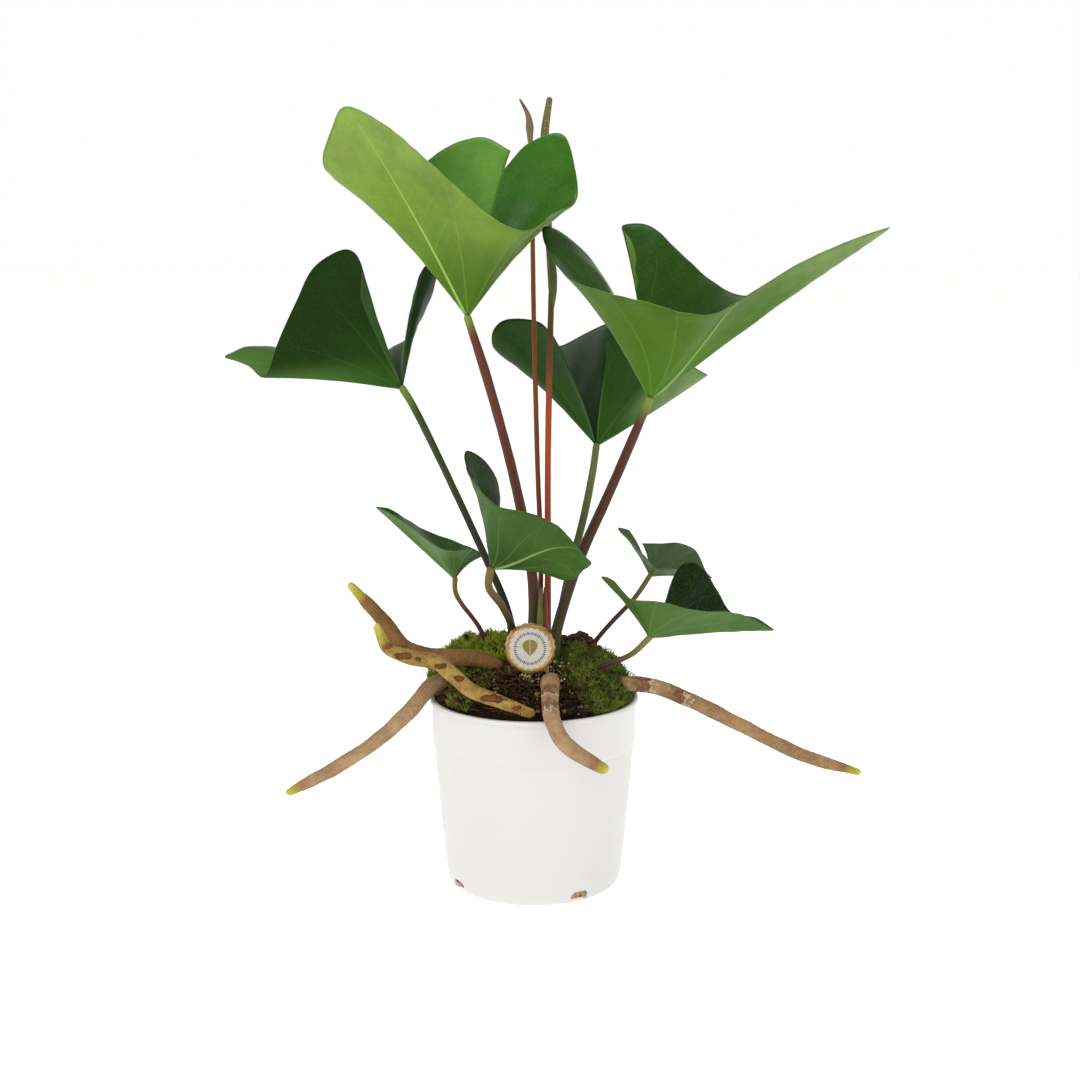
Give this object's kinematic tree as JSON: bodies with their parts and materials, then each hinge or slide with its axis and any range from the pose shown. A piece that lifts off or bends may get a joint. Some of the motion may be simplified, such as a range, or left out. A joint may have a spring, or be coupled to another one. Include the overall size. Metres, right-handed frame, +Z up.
{
  "type": "potted anthurium",
  "caption": "Flowering house plant with cupped arrow-shaped leaves, slender flower stems and long aerial roots, in a round white nursery pot with a round plant tag.",
  "frame": {"origin": "centre of the pot's flat underside, on the pot's axis", "axes": "+Z up along the pot's axis, the object's longest extent; -Y towards the front, where the plant tag faces; +X to the right"},
  "size_m": [0.3646, 0.2256, 0.447],
  "materials": {
    "white_plastic": "satin moulded plastic",
    "soil": "loose fibrous potting mix, matt",
    "bark": "matt woody crown",
    "moss": "matt cushion moss",
    "leaf_light": "smooth, slightly waxy leaf",
    "leaf_dark": "glossy dark leaf",
    "stalk": "smooth satin leaf stalk",
    "flower_stem": "smooth red-brown stem",
    "spathe": "satin spathe",
    "spadix": "finely beaded spadix",
    "root": "matt corky aerial root",
    "gold_metal": "satin printed tinplate",
    "cream_print": "matt printed face",
    "green_plastic": "satin plastic stake"
  },
  "bodies": {
    "root": {"cataphyll_red": "flower_stem", "crown": "bark", "flower_stem_tall": "flower_stem", "flower_stem_young": "flower_stem", "leaf_back": "leaf_dark", "leaf_front": "leaf_dark", "leaf_left": "leaf_dark", "leaf_right": "leaf_light", "leaf_small_left": "leaf_dark", "leaf_small_right": "leaf_dark", "leaf_small_right_back": "leaf_dark", "leaf_top": "leaf_light", "moss_back_left": "moss", "moss_right": "moss", "new_shoot": "stalk", "pot": "white_plastic", "potting_soil": "soil", "root_front": "root", "root_low_left": "root", "root_right": "root", "root_scarred": "root", "root_upper_left": "root", "spadix": "spadix", "spathe_green": "spathe", "spathe_young": "spathe", "stalk_back": "stalk", "stalk_front": "stalk", "stalk_left": "stalk", "stalk_right": "stalk", "stalk_small_left": "stalk", "stalk_small_right": "stalk", "stalk_small_right_back": "stalk", "stalk_top": "stalk", "tag_cap": "gold_metal", "tag_face": "cream_print", "tag_stake": "green_plastic"}
  },
  "joints": []
}
